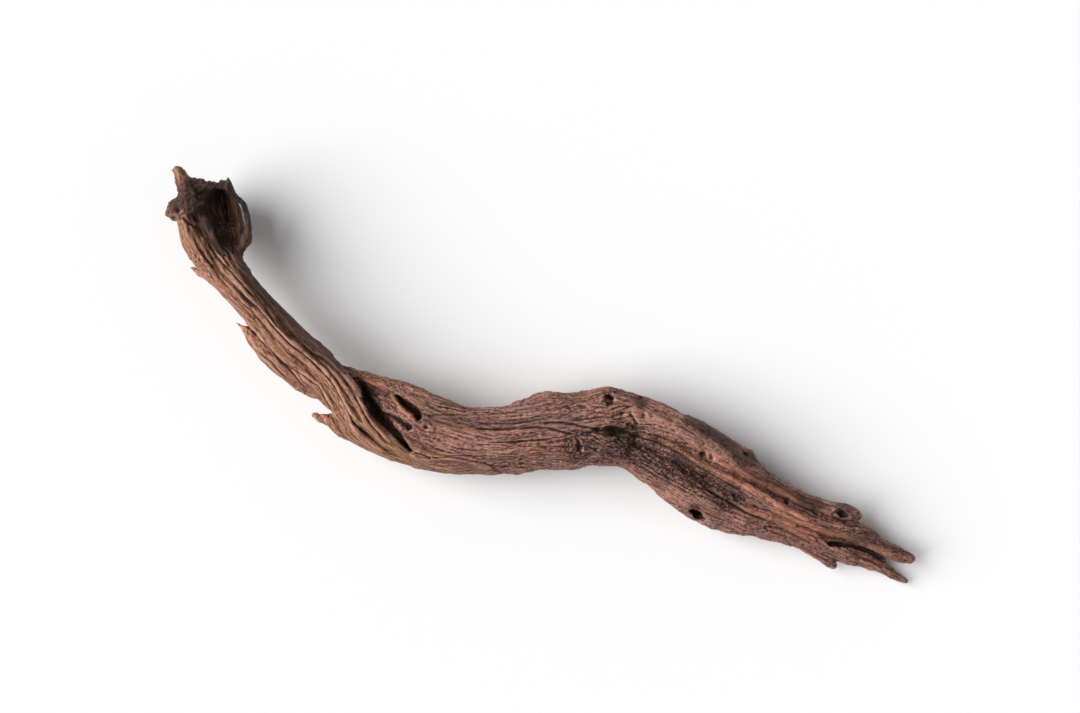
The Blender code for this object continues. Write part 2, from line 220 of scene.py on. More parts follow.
# %% Guide lines and grain places
ARM_LINE = [
    (5.1, 95.7, 71), (5.9, 89.5, 62), (6.5, 84, 59), (7.4, 79.1, 62), (9.3, 73.6, 65),
    (12, 67.8, 66), (14.8, 61.6, 68), (17.7, 56.4, 66), (20.4, 51.3, 65), (22.5, 45.8, 61),
    (24.6, 39.9, 55), (27.4, 34.8, 47), (31, 31, 38), (34.6, 28.9, 34), (40, 28.2, 37),
]
BELLY_LINE = [
    (22.8, 52.3, 51), (25.7, 48.9, 51), (29.3, 45.1, 51), (33.3, 40.9, 45), (38.1, 37.2, 42),
    (43.8, 35.8, 42), (49.5, 36.8, 44), (54.3, 37.6, 45),
]
UPPER_LOBE_LINE = BELLY_LINE + [
    (58.1, 39.4, 49), (62.5, 40.6, 54), (66.5, 38.2, 54), (70.6, 34.8, 51), (74.5, 30.8, 47),
    (78.3, 26.2, 42), (82.3, 22, 38), (86.1, 19.3, 35), (89.5, 17.9, 33), (92.4, 16.5, 31),
]
LOWER_LOBE_LINE = BELLY_LINE + [
    (57.6, 35.8, 42), (60.7, 33.5, 38), (64, 30, 35), (67.8, 26.3, 34), (71.4, 22.5, 33),
    (75.4, 19.4, 30), (79.4, 17.2, 27), (83.4, 15, 25), (87.2, 12.5, 23), (90.5, 10.3, 20),
    (93.7, 7.9, 17), (97.1, 5.8, 16), (100.6, 5.2, 16),
]
PRONG_LINE = LOWER_LOBE_LINE[:-5] + [
    (87.2, 11.6, 21), (90.5, 8, 15), (93.7, 5.5, 13), (97.1, 2.4, 11), (99.2, 0, 10),
]
GUIDE_LINES = [ARM_LINE, UPPER_LOBE_LINE, LOWER_LOBE_LINE, PRONG_LINE]
LINE_STEP = 1.5 * MM
LINE_BLUR = 9  # steps that the corners of a line are rounded over
HEIGHT_WEIGHT = 0.5  # height counts for less than plan when the nearest line is looked for
BATCH = 20000  # points that are compared with a line at once, to spare memory


def resampled(corners, step):
    """The line through these corners as points `step` apart."""
    lengths = np.linalg.norm(np.diff(corners, axis=0), axis=1)
    along = np.concatenate([[0], lengths.cumsum()])
    marks = np.linspace(0, along[-1], max(2, int(along[-1] / step)))
    return np.stack([np.interp(marks, along, axis) for axis in corners.T], axis=1)


def guide(corners):
    """Points, distances and directions along a line whose corners are rounded."""
    line = resampled(corners, LINE_STEP)
    padded = np.pad(line, ((LINE_BLUR, LINE_BLUR), (0, 0)), mode="edge")
    weights = np.ones(2 * LINE_BLUR + 1) / (2 * LINE_BLUR + 1)
    line = np.stack([np.convolve(axis, weights, "valid") for axis in padded.T], axis=1)
    ahead = np.gradient(line, axis=0)
    ahead /= np.linalg.norm(ahead, axis=1)[:, None]
    along = np.concatenate([[0], np.linalg.norm(np.diff(line, axis=0), axis=1).cumsum()])
    side = np.cross(ahead, (0, 0, 1))
    side /= np.linalg.norm(side, axis=1)[:, None]
    return line, along, ahead, side, np.cross(side, ahead)


def grain_places(points):
    """(along, aside, above) of each point beside its nearest guide line, and that line's number."""
    nearest = np.full(len(points), np.inf)
    places = np.zeros((len(points), 3))
    chosen = np.zeros(len(points), int)
    for number, shares in enumerate(GUIDE_LINES):
        line, along, ahead, side, above = guide(at(shares))
        for start in range(0, len(points), BATCH):
            part = slice(start, start + BATCH)
            away = ((points[part, None, :2] - line[None, :, :2]) ** 2).sum(axis=2)
            away += HEIGHT_WEIGHT * (points[part, None, 2] - line[None, :, 2]) ** 2
            pick = away.argmin(axis=1)
            gap = points[part] - line[pick]
            place = np.stack([
                along[pick] + (gap * ahead[pick]).sum(axis=1),
                (gap * side[pick]).sum(axis=1),
                (gap * above[pick]).sum(axis=1),
            ], axis=1)
            closer = away[np.arange(len(pick)), pick] < nearest[part]
            nearest[part] = np.where(closer, away[np.arange(len(pick)), pick], nearest[part])
            places[part] = np.where(closer[:, None], place, places[part])
            chosen[part] = np.where(closer, number, chosen[part])
    return places, chosen


skin = points_of(wood.data)
grain, line_number = grain_places(skin)
print("points on each line:", np.bincount(line_number).tolist())

# %% [markdown]
# ## Where each kind of surface is
#
# The piece isn't worn evenly. The arm and the lower hem are long silky fibres bleached to tan.
# The belly and the lobes are crazed like dried mud. The burl is knotty, and its scoop is painted
# almost black: painted shade for the deep hollow, with some dirt. A soft patch is 1 inside a ball
# round a place and fades to 0 outside it, and a soft stroke does the same along a line, seen from
# above. Vertex groups painted by hand would do too, but they would be lost when the model is packed
# again.

# %% Soft patches and strokes
PATCH_FADE = (0.6, 1.25)  # shares of a patch's radius where it starts and ends to fade
STROKE_FADE = (0.5, 1.3)


def smooth_step(low, high, values):
    share = np.clip((values - low) / (high - low), 0, 1)
    return share * share * (3 - 2 * share)


def fading(radius, fade, away):
    """1 near, 0 far: fades between two shares of a radius in mm."""
    return 1 - smooth_step(fade[0] * radius * MM, fade[1] * radius * MM, away)


def patch(spots, flat=False):
    """1 inside any of the spots (x, y, z in hundredths, radius in mm) and 0 well outside."""
    found = np.zeros(len(skin))
    for x, y, z, radius in spots:
        gap = skin - at((x, y, z))
        if flat:
            gap = gap[:, :2]
        away = np.linalg.norm(gap, axis=1)
        found = np.maximum(found, fading(radius, PATCH_FADE, away))
    return found


def stroke(radius, places):
    """1 near a line through these places, seen from above, and 0 well away from it."""
    away = np.full(len(skin), np.inf)
    for point in resampled(at(places), 3 * MM):
        away = np.minimum(away, np.hypot(*(skin[:, :2] - point[:2]).T))
    return fading(radius, STROKE_FADE, away)


shares = (skin - BOX_LOW) / BOX_SPAN * 100
arm_part = near.blurred(np.where(line_number == 0, 1.0, 0.0), 6)
crazed_part = 1 - arm_part
tail_part = smooth_step(74, 84, shares[:, 0])
burr_part = patch([(1.5, 90, 68, 12), (3.6, 93.5, 80, 13), (5, 96, 85, 9), (0.9, 97, 90, 6)])
scoop_part = patch([
    (7.2, 93, 48, 12), (7.4, 89, 45, 13), (8, 84.5, 48, 9), (7.2, 96, 60, 8), (9.6, 90, 50, 8),
])
crackle_part = patch([
    (60.5, 35, 72, 15), (63.5, 33, 72, 17), (67, 29.5, 70, 17), (70.5, 26, 62, 15),
    (74.5, 22, 58, 12), (54.5, 34, 78, 12),
])
print("shares of the skin: arm %.2f, burr %.2f, scoop %.2f" % (
    arm_part.mean(), burr_part.mean(), scoop_part.mean()))

# %% [markdown]
# ## Stains, painted shade and bleached places
#
# Besides the kinds of surface there are stains and painted shade: dusky wood at the burl and on the
# splintered ends, which also carries painted shade, painted shade in the fold, along the arm's flank
# and along the tail's upper edges, a purple band along the belly, and places that the sun has
# bleached pink or golden. They are known from above only, so their patches and strokes are measured
# in plan, and most of them fade out lower down on the flanks.

# %% Stains, painted shade and bleached places
DUSK_AND_SHADE_SPOTS = [  # dark wood, with painted shade, at the burl, the fold, the knot holes and the splintered ends
    (3.1, 92.9, 50, 9), (4.2, 94.4, 50, 10), (5.2, 94.8, 50, 11), (6.5, 96.3, 50, 11),
    (8.1, 96.7, 50, 11), (9.5, 95.3, 50, 10), (10.6, 91.7, 50, 9), (11.0, 87.7, 50, 8),
    (10.5, 83.9, 50, 8), (9.2, 81.0, 50, 8), (7.1, 82.0, 50, 8), (5.2, 85.8, 50, 8),
    (4.2, 89.1, 50, 9), (58.8, 37.6, 50, 5), (77.2, 30.5, 50, 7), (93.4, 10.2, 50, 9),
    (95.2, 7.6, 50, 9), (97.5, 8.5, 50, 9), (97.7, 1.8, 50, 9), (90.2, 19.0, 50, 7),
    (26.9, 46.2, 50, 6), (27.7, 42.4, 50, 6), (1.5, 91.5, 50, 6), (69.8, 18.5, 50, 5),
    (62.7, 44.3, 50, 5),
]
SHADE_STROKES = [  # painted shade: radius in mm, then the places: flank of the arm, the tail's upper edges, the fold
    (6, [(9.7, 80.1, 50), (11.0, 74.3, 50), (12.9, 69.3, 50),
         (15.4, 64.6, 50), (18.1, 60.0, 50), (20.7, 56.0, 50), (23.0, 52.9, 50)]),
    (5, [(69.3, 40.0, 50), (74.3, 34.0, 50), (76.4, 30.0, 50)]),
    (5, [(77.5, 26.2, 50), (82.5, 21.6, 50), (86.2, 19.5, 50)]),
    (5, [(87.3, 12.8, 50), (90.4, 11.1, 50), (92.8, 9.5, 50)]),
    (4, [(27.3, 41.9, 50), (29.8, 37.6, 50), (32.0, 33.3, 50)]),
]
PALE_SPOTS = [  # the palest, pinkest wood
    (64.0, 40.5, 50, 12), (66.4, 39.0, 50, 12), (68.7, 36.7, 50, 11), (71.1, 33.3, 50, 10),
    (73.2, 30.0, 50, 9), (37.2, 35.2, 50, 8), (40.2, 34.7, 50, 8), (43.1, 34.3, 50, 8),
    (67.4, 22.3, 50, 9), (69.3, 21.6, 50, 8), (62.7, 42.9, 50, 7),
]
SCOOP_SPOTS = [  # painted shade in the hollow of the burl and on the wood round it, with some dirt
    (5.0, 91.0, 50, 8), (6.0, 92.5, 50, 9), (7.3, 93.4, 50, 10), (8.7, 93.4, 50, 9),
    (9.7, 90.5, 50, 8), (9.2, 87.2, 50, 9), (7.9, 86.3, 50, 10), (6.4, 87.7, 50, 9),
    (7.3, 83.4, 50, 8),
]
BAND_SPOTS = [  # a purple band under the belly's upper edge
    (35.7, 40.2, 50, 6), (38.0, 39.8, 50, 6), (40.4, 39.3, 50, 6), (42.8, 39.0, 50, 6),
    (45.2, 39.0, 50, 6), (47.6, 39.0, 50, 6), (49.9, 39.3, 50, 6), (52.1, 39.8, 50, 6),
]
GOLDEN_SPOTS = [  # hem and upper edges, bleached like the arm
    (30.4, 32.4, 50, 8), (33.5, 30.5, 50, 8), (36.8, 29.5, 50, 8), (40.2, 28.5, 50, 8),
    (31.2, 47.6, 50, 7), (34.1, 45.7, 50, 7), (58.2, 45.2, 50, 7), (61.1, 44.8, 50, 7),
    (52.1, 45.2, 50, 6), (55.4, 45.7, 50, 6),
]
dusk_part = patch(DUSK_AND_SHADE_SPOTS, flat=True)
for radius, places in SHADE_STROKES:
    dusk_part = np.maximum(dusk_part, stroke(radius, places))
dusk_part = near.blurred(dusk_part, 6)
pale_part = near.blurred(patch(PALE_SPOTS, flat=True), 6)
scoop_shade_and_stain = near.blurred(patch(SCOOP_SPOTS, flat=True), 5)
scoop_part = 0.8 * np.maximum(scoop_part, scoop_shade_and_stain)
band_part = near.blurred(patch(BAND_SPOTS, flat=True), 4)
golden_part = near.blurred(patch(GOLDEN_SPOTS, flat=True), 12)
bleached_arm = near.blurred(arm_part, 90)
high_up = smooth_step(12, 55, shares[:, 2])  # what is only known from above fades out lower down
print("shares of the skin: dusky %.2f, pale %.2f, golden %.2f" % (
    dusk_part.mean(), pale_part.mean(), golden_part.mean()))

# %% [markdown]
# ## The grain flows round its knots
#
# Where a side branch once grew, the fibres part and close again. A displacement texture can't do
# that, because it doesn't know the grain. Here each knot draws the grain places near it together,
# and a slow noise lets them sway, so that any pattern made from them later flows round the knots.

# %% Bend the grain
def noise_at(places, size, seed):
    """Smooth noise from -1 to 1. `size` is in mm: along, aside and above the grain."""
    scaled = places / (np.array(size) * MM) + seed
    return np.fromiter((noise.noise(p) for p in scaled.tolist()), float, len(places))


KNOTS = [  # x, y, z in hundredths, radius in mm
    (54.6, 33.4, 77, 10), (58.5, 44.9, 79, 8), (61.5, 40, 78, 7), (70.1, 17.9, 32, 13),
    (76.7, 32, 58, 9), (34.4, 38.5, 76, 5), (82.2, 20.4, 52, 5), (19, 46, 60, 6),
    (47, 31, 20, 12), (30, 36, 12, 10), (74, 22, 5, 12), (14, 58, 35, 8),
]
KNOT_PULL = 0.75  # how far a knot draws the grain beside it to its own middle
SWAY = 2.2 * MM


def bent_round_knots(places, points):
    """Grain places pushed aside near each knot, so that the fibres flow round it."""
    bent = places.copy()
    for x, y, z, radius in KNOTS:
        gap = points - at((x, y, z))
        away = np.linalg.norm(gap, axis=1)
        pull = np.exp(-(away / (radius * MM)) ** 2)
        centre = places[away.argmin()]
        bent[:, 1:] += (centre[1:] - places[:, 1:]) * (KNOT_PULL * pull)[:, None]
    return bent


flow = bent_round_knots(grain, skin)
flow[:, 1] += SWAY * noise_at(flow, (34, 16, 16), 3.1)
flow[:, 2] += SWAY * noise_at(flow, (40, 18, 18), 8.7)
print("the knots and the sway move the grain by up to %.1f mm" % (np.abs(flow - grain).max() / MM))

# %% [markdown]
# ## The layers of the relief
#
# Weather eats the soft wood between the hard fibres, so the surface is a set of rounded strands
# with sharp valleys between them, at several sizes. The absolute value of smooth noise has just
# that profile: round hills, and a crease wherever the noise crosses zero. Three sizes of it, all
# long in the direction of the grain, make the strands. The crazing of the belly comes from the
# borders of a cell pattern, and long checks open where the wood has dried and split.

# %% Noise along the grain
def cell_borders(places, size, seed):
    """0 on the borders of a cell pattern, rising to about 1 in the middle of its cells."""
    scaled = places / (np.array(size) * MM) + seed
    found = np.empty(len(places))
    for i, place in enumerate(scaled.tolist()):
        near_two = noise.voronoi(place)[0]
        found[i] = near_two[1] - near_two[0]
    return found


strands = np.abs(noise_at(flow, (95, 7.5, 7.5), 11.3))
cords = np.abs(noise_at(flow, (48, 3.3, 3.3), 21.9))
fibres = np.abs(noise_at(flow, (26, 1.7, 1.7), 5.5))
hairs = noise_at(flow, (14, 1.0, 1.0), 41.7)
lumps = noise_at(skin, (9, 9, 9), 2.2)
grit = noise_at(skin, (2.6, 2.6, 2.6), 7.7)
knotty = np.abs(noise_at(skin, (5.5, 5.5, 5.5), 4.4))
knotty += 0.5 * np.abs(noise_at(skin, (2.4, 2.4, 2.4), 9.1))
pitting = noise_at(flow, (3.4, 1.5, 1.5), 33.0)
crazing = cell_borders(flow, (4.2, 2.4, 2.4), 1.3)
wide_crazing = cell_borders(flow, (15, 4.2, 4.2), 6.3)
checks = np.abs(noise_at(flow, (90, 5.2, 5.2), 61.0))
check_spots = noise_at(flow, (26, 9, 9), 77.0)
print("noise is worked out after %.0f s" % (time.time() - STARTED))

# %% [markdown]
# ## The marks that only this piece has
#
# Some creases and ridges are landmarks: the twist lines down the arm, the dark seam between the
# lobes and the bright ridge beside it, the long checks in the belly. Noise can't be told to put
# them there, so each is laid as a line through a few places on the skin, with a width and a
# depth. First the creases.

# %% Where the creases run
CREASES = [  # width and depth in mm, then the places in hundredths
    (1.2, 2.4, [(8.4, 74.1, 80), (10.2, 69.6, 81), (12.4, 66, 84), (14.4, 62, 85), (16.3, 58.2, 85),
                (18.3, 55.4, 83), (20.2, 52.8, 83), (21.8, 49.6, 83), (22.8, 45.9, 80),
                (23.8, 42.4, 78), (24.8, 39.5, 76), (26.8, 36.1, 69), (28.2, 33.9, 63)]),
    (0.8, 1.3, [(13.2, 67, 85), (15, 62.3, 85), (17.1, 58.6, 85)]),
    (1.0, 1.8, [(5.6, 83.5, 80), (6.2, 80.3, 80), (8.3, 75.9, 79), (10.6, 71.6, 83),
                (12.2, 68.7, 86)]),
    (1.0, 1.5, [(9.9, 64.4, 42), (11.9, 60.4, 62), (14, 56.6, 71), (15.9, 53.5, 70),
                (18.4, 50.3, 75), (20.3, 47.9, 75), (21.3, 44.2, 67), (22.1, 40.4, 64),
                (23.3, 37.2, 59)]),
    (1.1, 1.6, [(18.9, 56.6, 80), (21.4, 54, 80), (23.3, 50.6, 80), (24.9, 46.6, 78),
                (25.8, 43, 77), (26.9, 39.4, 77), (28.3, 36.4, 73), (29.6, 33.6, 66)]),
    (1.0, 1.8, [(2.1, 88.4, 81), (3.1, 87.2, 84), (3.7, 86.9, 81), (4.6, 85.4, 78)]),
    (0.7, 1.3, [(42.2, 35, 78), (43.8, 34.8, 78), (44.8, 34.9, 78), (46.5, 35, 77),
                (48.5, 35.4, 79), (51, 35.6, 79)]),
    (0.9, 1.5, [(40.2, 38, 76), (42.9, 38.1, 75), (45.1, 38, 77), (47.3, 38.4, 78),
                (49.2, 38.5, 79), (51, 38.1, 80), (53.2, 36.8, 80), (55, 36.4, 82)]),
    (0.9, 1.6, [(49.4, 39.4, 78), (51.5, 39.6, 80), (53.2, 39.4, 81), (54.8, 38.7, 82),
                (57.5, 37.8, 71)]),
    (0.7, 1.1, [(34.8, 31.1, 68), (38, 31.3, 71), (40.6, 30.1, 69), (43.2, 29.1, 64),
                (46.1, 28.6, 59), (49, 28.4, 55)]),
    (1.0, 2.0, [(32.6, 32.4, 58), (34.1, 31.3, 68), (35.1, 30.8, 67)]),
    (0.6, 1.4, [(35.7, 43.4, 73), (37, 42.9, 74), (38.6, 42.5, 73), (40, 42, 73)]),
    (0.7, 0.9, [(34.1, 41.2, 74), (36.2, 41.4, 73), (38.8, 41.3, 74), (41.5, 41.5, 75),
                (44.1, 41.7, 76), (46.7, 42, 78)]),
    (1.8, 1.5, [(57.3, 37.9, 73), (59.3, 38.2, 70), (60.8, 37.4, 70), (61.7, 36, 68),
                (63.6, 35.7, 72), (65.7, 34.4, 72), (67.5, 32.3, 73), (69.4, 30, 72),
                (70.8, 27.9, 71), (72.8, 26, 67), (75, 24, 66), (77.4, 22, 65)]),
    (0.9, 1.6, [(77.2, 20.1, 60), (79.9, 18.1, 57), (82.9, 15.5, 54), (85.9, 13.2, 41)]),
    (0.8, 1.5, [(71, 23.8, 58), (72.7, 22.3, 55), (74.4, 20.4, 53), (77.2, 17.4, 51),
                (80.3, 15.4, 46)]),
    (1.3, 2.2, [(87.4, 10.6, 34), (88.8, 9.8, 28), (90.9, 9.7, 24), (92.9, 8.6, 23),
                (95, 6.5, 19), (96.5, 5.8, 19)]),
    (0.9, 1.5, [(88.6, 18.2, 45), (89.4, 17.5, 38), (90.3, 17.4, 41), (90.8, 16.3, 39)]),
    (0.9, 1.4, [(61.1, 42.1, 81), (61.6, 40.2, 79), (62.3, 38.7, 74)]),
    (1.0, 1.6, [(54.2, 36, 80), (54.5, 33.8, 78), (54.9, 31.6, 70)]),
    (0.9, 1.5, [(5.0, 87.2, 68), (5.5, 83.8, 70), (7.1, 80.0, 72), (8.9, 76.2, 74),
                (10.5, 72.4, 75)]),
    (0.9, 1.5, [(6.3, 87.2, 66), (6.7, 83.4, 68), (8.2, 79.6, 72), (9.7, 75.7, 73)]),
    (0.9, 1.5, [(7.9, 86.2, 66), (8.2, 82.9, 68), (9.2, 79.6, 70)]),
    (0.9, 1.5, [(3.1, 87.2, 76), (3.7, 83.8, 76), (5.0, 80.0, 77), (6.6, 75.7, 78)]),
    (1.5, 2.6, [(27.9, 41.7, 60), (29.1, 41.2, 63), (30.4, 40.5, 66), (31.6, 39.0, 69),
                (32.8, 37.9, 71)]),
]
print(len(CREASES), "creases")

# %% [markdown]
# ## Ridges and dents
#
# Ridges are lines as well, but they stand up. Four of them are named, because their crests are
# worn through to the paler heartwood, which the colour has to know. Dents are the small pits of
# lost side shoots, each a place, a radius and a depth.

# %% Where the ridges and dents are
BRIGHT_RIDGE = [
    (64.5, 36.4, 71), (66.5, 34.6, 73), (68.3, 32.6, 73), (70.2, 30, 72), (71.6, 29, 71),
    (73.6, 27.2, 69), (76.2, 24.8, 67), (78.8, 22.6, 64), (80.9, 19.8, 60), (83.6, 17.4, 57),
    (86.4, 14.3, 48),
]
TAIL_RIDGE = [(78.1, 17.8, 50), (81.3, 16, 45), (84, 13.8, 41), (86, 12.3, 38)]
FOLD_CREST = [(25, 51.2, 61), (26, 49.8, 56), (27.4, 48.7, 63), (28.6, 48, 64), (29.5, 46.6, 60)]
FLAP_EDGE = [
    (29.4, 46.9, 63), (30.4, 44.8, 64), (29.9, 43.9, 64), (30.8, 43.1, 66), (32.0, 41.2, 68),
    (33.3, 39.0, 71),
]
RIDGES = [  # width and height in mm, then the places
    (1.3, 1.1, [(4.6, 85.5, 79), (5.2, 82.4, 80), (7, 77.4, 79), (9.4, 73, 83), (10.9, 70, 86),
                (12.6, 66.8, 85)]),
    (0.9, 1.3, [(6.1, 84.8, 80), (7.1, 81.3, 80), (8.9, 77.7, 78), (10.9, 74.4, 79),
                (12, 72.3, 76)]),
    (1.3, 1.2, [(17.5, 59.4, 80), (19.4, 56.7, 79), (21.2, 54.9, 80), (22.8, 52.2, 82),
                (24.4, 49.3, 80), (25.6, 46.4, 78), (26.4, 43.5, 76)]),
    (1.3, 1.0, [(9.4, 65.6, 42), (11.5, 61.6, 62), (13.5, 57.9, 71), (15.4, 54.7, 70),
                (18, 51.5, 75), (20, 49.1, 75), (21.4, 45, 67), (22.5, 41.2, 64)]),
    (1.5, 1.6, BRIGHT_RIDGE),
    (1.1, 1.1, TAIL_RIDGE),
    (0.9, 0.8, FOLD_CREST),
    (1.0, 1.6, FLAP_EDGE),
]
DENTS = [  # x, y, z in hundredths, radius and depth in mm
    (70.9, 31.9, 70, 2.2, 2.6), (72, 31.1, 70, 1.8, 2.2), (63, 41, 80, 2.2, 1.8),
    (76.7, 32, 54, 2.6, 2.2), (82.2, 20.4, 52, 1.8, 3), (34.4, 38.5, 76, 1.6, 3),
    (58.5, 44.9, 79, 3, 3), (54.6, 33.2, 77, 2.6, 3), (89.7, 17, 39, 2, 2.5),
    (60.2, 41.6, 80, 1.8, 1.4), (67, 37.5, 78, 2, 1.4), (1.6, 89.6, 80, 2, 2.2),
    (3.4, 92.6, 88, 2.4, 1.8), (21.5, 43.6, 72, 1.6, 1.6),
]
HEART_LINES = [  # where the paler, redder heartwood is laid bare: width in mm, then the places
    (3.4, BRIGHT_RIDGE), (2.6, TAIL_RIDGE), (1.6, FOLD_CREST),
    (3.2, [(79, 20, 60), (82, 17.4, 55), (85, 14.8, 48), (88, 12.6, 44), (92, 10.4, 36)]),
    (1.8, [(70.5, 33, 70), (74, 29.6, 66), (78, 25.6, 60), (81.5, 22.8, 54), (84.5, 19.6, 50)]),
    (1.6, [(76, 19.2, 54), (80, 16.4, 48), (84, 12.8, 42), (87.2, 10.6, 36)]),
    (1.4, [(93, 9.6, 28), (95.5, 7.8, 24), (98.5, 6.4, 22)]),
    (0.9, [(36, 38.6, 74), (40, 37.6, 75), (43.5, 37.3, 76), (46, 37.4, 77), (49, 37.6, 79)]),
    (1.4, [(31, 48.5, 67), (35, 45.5, 70)]),
    (1.2, FLAP_EDGE),
]
print(len(RIDGES), "ridges,", len(DENTS), "dents,", len(HEART_LINES), "lines of bare heartwood")

# %% [markdown]
# ## Laying a line on the skin
#
# A line's mark depends on how far each point is from it in plan: strong in its middle, gone a
# few widths away, and fading at both ends. A little noise makes its edges waver like torn wood. A
# crease gets a low lip on each side, because the wood there curls up as it dries. Only skin at
# about the line's own height is marked, so that nothing shows on the underside.

# %% Lay the creases, ridges and dents
LINE_SPACING = 6 * MM
LINE_MARGIN = 12 * MM  # points further from a line than this are left out
LINE_FADE = 0.12  # the share of a line's length that it fades over at each end
LIP_AWAY = 2.3  # how many widths from a crease its lip stands
LIP_SHARE = 0.22
DEPTH_REACH = 9 * MM  # a line only marks skin this near its own height
WAVER = 0.45


def plan_distance(line, points):
    """Distance in plan to the nearest place on the line, and how far along it that is, 0 to 1."""
    away = np.full(len(points), np.inf)
    share = np.zeros(len(points))
    height = np.zeros(len(points))
    steps = len(line) - 1
    for i, (a, b) in enumerate(zip(line, line[1:])):
        run = b[:2] - a[:2]
        t = np.clip(((points[:, :2] - a[:2]) @ run) / max(run @ run, 1e-12), 0, 1)
        gap = np.hypot(*(points[:, :2] - a[:2] - t[:, None] * run).T)
        closer = gap < away
        away = np.where(closer, gap, away)
        share = np.where(closer, (i + t) / steps, share)
        height = np.where(closer, a[2] + t * (b[2] - a[2]), height)
    return away, share, height


def line_mark(width, depth, places, waver):
    """How strongly a line marks each point: its own groove, and the lips beside it."""
    line = resampled(at(places), LINE_SPACING)
    low, high = line.min(axis=0) - LINE_MARGIN, line.max(axis=0) + LINE_MARGIN
    inside = np.flatnonzero(((skin > low) & (skin < high)).all(axis=1))
    groove, lips = np.zeros(len(skin)), np.zeros(len(skin))
    away, share, height = plan_distance(line, skin[inside])
    away = away / (width * MM) + waver[inside]
    ends = smooth_step(0, LINE_FADE, share) * smooth_step(0, LINE_FADE, 1 - share)
    level = 1 - smooth_step(0.5, 1, np.abs(skin[inside, 2] - height) / DEPTH_REACH)
    groove[inside] = np.exp(-away**2) * ends * level * depth
    lips[inside] = np.exp(-((away - LIP_AWAY) ** 2)) * ends * level * depth * LIP_SHARE
    return groove, lips


waver = WAVER * noise_at(skin, (5, 5, 5), 15.0)
crease_depth = np.zeros(len(skin))
ridge_height = np.zeros(len(skin))
for width, depth, places in CREASES:
    groove, lips = line_mark(width, depth, places, waver)
    crease_depth = np.maximum(crease_depth, groove)
    ridge_height = np.maximum(ridge_height, lips)
for width, depth, places in RIDGES:
    raised, _ = line_mark(width, depth, places, waver)
    ridge_height = np.maximum(ridge_height, raised)
for x, y, z, radius, depth in DENTS:
    away = np.linalg.norm(skin - at((x, y, z)), axis=1) / (radius * MM)
    crease_depth = np.maximum(crease_depth, depth * np.exp(-(away + 0.5 * waver) ** 2))
heart_part = np.zeros(len(skin))
for width, places in HEART_LINES:
    laid_bare, _ = line_mark(width, 1.0, places, 0.7 * waver)
    heart_part = np.maximum(heart_part, laid_bare)
print("creases reach %.1f mm, ridges %.1f mm" % (crease_depth.max(), ridge_height.max()))

# %% [markdown]
# ## Putting the relief together
#
# The layers add up to one height in millimetres, and each point of the skin moves that far along
# its normal. A Displace modifier would need an image or a texture for each layer, and couldn't
# follow the grain. From each layer of strands its mean is taken off first, so that the wood
# neither swells nor shrinks. The feet stay as they are, because the piece rests on them.

# %% Add up the layers and move the skin
STRAND_DEPTH = 1.8  # all depths in mm
CORD_DEPTH = 1.1
FIBRE_DEPTH = 0.95
HAIR_DEPTH = 0.4
BURR_DEPTH = 3.2
LUMP_DEPTH = 0.5
GRIT_DEPTH = 0.15
PIT_DEPTH = 0.1
CRAZE_DEPTH = 0.4
WIDE_CRAZE_DEPTH = 0.35
CHECK_DEPTH = 0.9
STRAND_MEAN = 0.22
FIBRE_MEAN = 0.2
KNOTTY_MEAN = 0.32
FOOT_FADE = (0.6 * MM, 3.5 * MM)  # the carving starts between these heights

normals = normals_of(wood.data)
long_checks = (1 - smooth_step(0.0, 0.055, checks)) * smooth_step(-0.02, 0.22, check_spots)
craze_cracks = 1 - smooth_step(0.03, 0.2, crazing)
wide_cracks = 1 - smooth_step(0.02, 0.11, wide_crazing)
craze_spots = smooth_step(-0.1, 0.35, noise_at(skin, (24, 24, 24), 30.0))
craze_amount = crazed_part * (1 - 0.7 * tail_part) * np.clip(crackle_part + 0.35 * craze_spots, 0, 1)
pits = smooth_step(0.12, 0.5, -pitting)

height = STRAND_DEPTH * (strands - STRAND_MEAN) + CORD_DEPTH * (cords - FIBRE_MEAN)
height += FIBRE_DEPTH * (fibres - FIBRE_MEAN) + HAIR_DEPTH * hairs
height *= 1 - 0.7 * burr_part
height += burr_part * BURR_DEPTH * (knotty - KNOTTY_MEAN)
height += crazed_part * (0.25 * grit + LUMP_DEPTH * lumps - 0.2 * pits)
height += GRIT_DEPTH * grit - PIT_DEPTH * pits
height -= craze_amount * (CRAZE_DEPTH * craze_cracks + WIDE_CRAZE_DEPTH * wide_cracks)
height -= (0.25 + 0.75 * crazed_part) * CHECK_DEPTH * long_checks * (1 - 0.8 * burr_part)
height += ridge_height - crease_depth
height *= smooth_step(*FOOT_FADE, skin[:, 2])
carved = skin + normals * (height * MM)[:, None]
carved[:, 2] = np.maximum(carved[:, 2], 0.0)
set_points(wood.data, carved)
print("relief from %.1f to %.1f mm" % (height.min(), height.max()))

# %% [markdown]
# ## Hollows, crests and painted shade
#
# The colour paints shade into the hollows and a highlight onto the crests, with some dirt in the
# hollows and some wear on the crests, so it needs to know which is which. Comparing each point with
# the average of its neighbourhood tells a hollow from a crest, at a fine and at a coarse size. For
# the deep places, a few rays are sent out from each point: the more of them that meet wood nearby,
# the more occluded the place is, and the darker its painted shade. Blender's ambient occlusion node
# would do the same, but an exported model can't hold it.

# %% Tell hollows from crests, and find the occlusion for the painted shade
RAYS = 7  # one straight out, and the rest in a ring that leans away from it
RAY_LEAN = 0.95
RAY_REACH = 16 * MM
RAY_START = 0.35 * MM
FAR_LOSS = 0.7  # how much less a hit at full reach counts than one close by


def stands_proud(points, normals, rounds):
    """How far each point is above the average round it, in mm."""
    return ((points - near.blurred_points(points, rounds)) * normals).sum(axis=1) / MM


